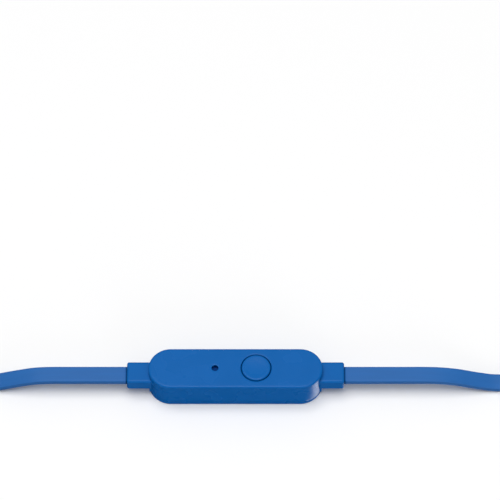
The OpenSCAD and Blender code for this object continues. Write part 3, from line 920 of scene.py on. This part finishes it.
def build_plug(name, plan, side, rings):
    """A round plug lying past its hank, made up of turned pieces.

    rings are the contacts as (piece, node, from, to), measured outwards from the shoulder.
    """
    shoulder = side * (
        plan["near"] + plan["span"] + STUB + TAIL_RUN + PLUG_RELIEF_LEN + GRIP_LEN
    )
    centre, axis = (shoulder, PLUG_Y, PLUG_Z), (side, 0, 0)
    made = []

    def turned(part, slot, profile, *nodes, closed=False):
        """Turns one piece of the plug about its axis."""
        bm = bmesh.new()
        lathe(bm, profile, centre, axis, 72, closed)
        made.append(piece(f"{name}_{part}", bm, slot, "remote", *nodes))

    # Heights run from the shoulder: the pin is above 0, the grip and its relief below
    back = -GRIP_LEN - PLUG_RELIEF_LEN
    boot_r, grip_r, corner = 2.3, 3.0, 0.12
    boot = [(0, back), (boot_r - 0.25, back), (boot_r, back + 0.25)]
    for k in range(3):
        z = back + 1.5 + 2 * k
        r = boot_r + 0.05 * (z - back)
        boot += [(r - 0.1, z - 0.05), (r - 0.3, z + 0.1), (r - 0.3, z + 0.8), (r, z + 0.95)]
    boot += [(2.65, -GRIP_LEN), (0, -GRIP_LEN)]
    turned("boot", "plug_plastic", soft_profile(boot, corner), f"{name}_relief")
    grip = [(0, -GRIP_LEN), (2.55, -GRIP_LEN), (grip_r, -GRIP_LEN + 0.5)]
    groove_r = grip_r - 0.18
    for k in range(5):
        z = -GRIP_LEN + 3.0 + 1.1 * k
        grip += [(grip_r, z), (groove_r, z + 0.15), (groove_r, z + 0.5), (grip_r, z + 0.65)]
    grip += [(grip_r, -0.6), (2.45, 0), (2.3, 0), (2.3, -4.9), (0, -4.9)]
    turned("handle", "plug_plastic", soft_profile(grip, corner), f"{name}_grip")
    core = 1.2
    for part, node, low, high in rings:
        if part == "shank":
            # The sleeve's wider root sits inside the grip
            line = [(core, -4.85), (2.28, -4.85), (2.28, -0.02), (2.2, 0.06), (PIN_R, 0.06)]
            line += [(PIN_R, high - 0.04), (PIN_R - 0.05, high), (core, high)]
        else:
            line = [(core, low), (PIN_R - 0.05, low), (PIN_R, low + 0.05)]
            line += [(PIN_R, high - 0.05), (PIN_R - 0.05, high), (core, high)]
        turned(part, "plug_metal", line, node, closed=True)
    # The tip: a rod through the pin, the last collar, the waist and the rounded point
    point = [(0, -4.8), (0.6, -4.8), (0.6, 10.4), (1.7, 10.4), (PIN_R, 10.45), (PIN_R, 10.95)]
    waist = [(PIN_R, 10.98), (1.15, 11.5), (1.15, 11.7), (1.62, 12.3), (0.9, 13.6), (0.5, 13.93)]
    point += soft_profile(waist, 0.3)
    point += [(0.25, PIN_LEN - 0.02), (0, PIN_LEN)]
    turned("point", "plug_metal", point, f"{name}_tip")
    return made


# ---- Ground and light ----


def add_floor():
    """A wide white floor. Gloss doesn't see it, which keeps the side walls' colour deep."""
    bm = bmesh.new()
    half = 3000.0
    for x, y in ((-half, -half), (half, -half), (half, half), (-half, half)):
        bm.verts.new((x * MM, y * MM, 0))
    bm.faces.new(bm.verts)
    mesh = bpy.data.meshes.new("floor")
    bm.to_mesh(mesh)
    bm.free()
    floor = bpy.data.objects.new("floor", mesh)
    bpy.context.scene.collection.objects.link(floor)
    mat, _, _, bsdf = clear_material("floor_white")
    bsdf.inputs["Base Color"].default_value = (0.92, 0.92, 0.92, 1)
    bsdf.inputs["Roughness"].default_value = 0.9
    bsdf.inputs["Specular IOR Level"].default_value = 0.0
    mesh.materials.append(mat)
    floor.visible_glossy = False


def add_light(name, place, target, size, power):
    """A soft white rectangular light, placed and sized in millimetres."""
    data = bpy.data.lights.new(name, "AREA")
    data.shape = "RECTANGLE"
    data.size, data.size_y = size[0] * MM, size[1] * MM
    data.energy = power
    obj = bpy.data.objects.new(name, data)
    bpy.context.scene.collection.objects.link(obj)
    obj.location = Vector(place) * MM
    aim = Vector(target) * MM - obj.location
    obj.rotation_euler = aim.to_track_quat("-Z", "Y").to_euler()


def add_world():
    """Soft white light from above the horizon, and almost none from below it."""
    world = bpy.data.worlds.new("world")
    world.use_nodes = True
    nodes, links = world.node_tree.nodes, world.node_tree.links
    coord = nodes.new("ShaderNodeTexCoord")
    axes = nodes.new("ShaderNodeSeparateXYZ")
    height = nodes.new("ShaderNodeMapRange")
    height.inputs["From Min"].default_value = -0.1
    height.inputs["From Max"].default_value = 0.1
    height.inputs["To Min"].default_value = 0.01
    height.inputs["To Max"].default_value = 0.37
    links.new(coord.outputs["Generated"], axes.inputs["Vector"])
    links.new(axes.outputs["Z"], height.inputs["Value"])
    links.new(height.outputs["Result"], nodes["Background"].inputs["Strength"])
    nodes["Background"].inputs["Color"].default_value = (1, 1, 1, 1)
    bpy.context.scene.world = world


def add_lights():
    """One large light overhead, one small one in front, and a card for one reflection."""
    add_light("top_softbox", (-150, -60, 2000), (0, 0, 0), (1750, 1250), 33)
    add_light("front_softbox", (200, -480, 160), (0, 0, 3), (160, 200), 0.35)
    # Below the floor, so that it shows only as a reflection on the pod's right end
    add_light("end_card", (60, -2, -85), (16, -2, 3), (44, 66), 0.03)
    bpy.context.scene.view_settings.view_transform = "Standard"
    bpy.context.scene.view_settings.look = "None"


# ---- Build ----


def declare_cable(name, plan, side):
    cable, path = build_cable(name, plan, side)


phone_plug = build_plug(
    "phone_plug",
    RIGHT,
    1,
    [
        ("shank", "phone_plug_sleeve", 0, 4.6),
        ("lower_band", "phone_plug_lower_ring", 5.2, 7.2),
        ("upper_band", "phone_plug_upper_ring", 7.8, 9.8),
    ],
)
headphone_plug = build_plug(
    "headphone_plug",
    LEFT,
    -1,
    [
        ("shank", "headphone_plug_sleeve", 0, 7.2),
        ("band", "headphone_plug_ring", 7.8, 9.8),
    ],
)
phone_plug += [frame["nodes"]["phone_plug_insulator"], build_tie("right", RIGHT, 1)]
headphone_plug += [frame["nodes"]["headphone_plug_insulator"], build_tie("left", LEFT, -1)]
declare_cable("right", RIGHT, 1)
declare_cable("left", LEFT, -1)
build_shell()
build_cover()
build_button()
build_dome()
build_relief(1)
build_relief(-1)
add_floor()
add_world()
add_lights()
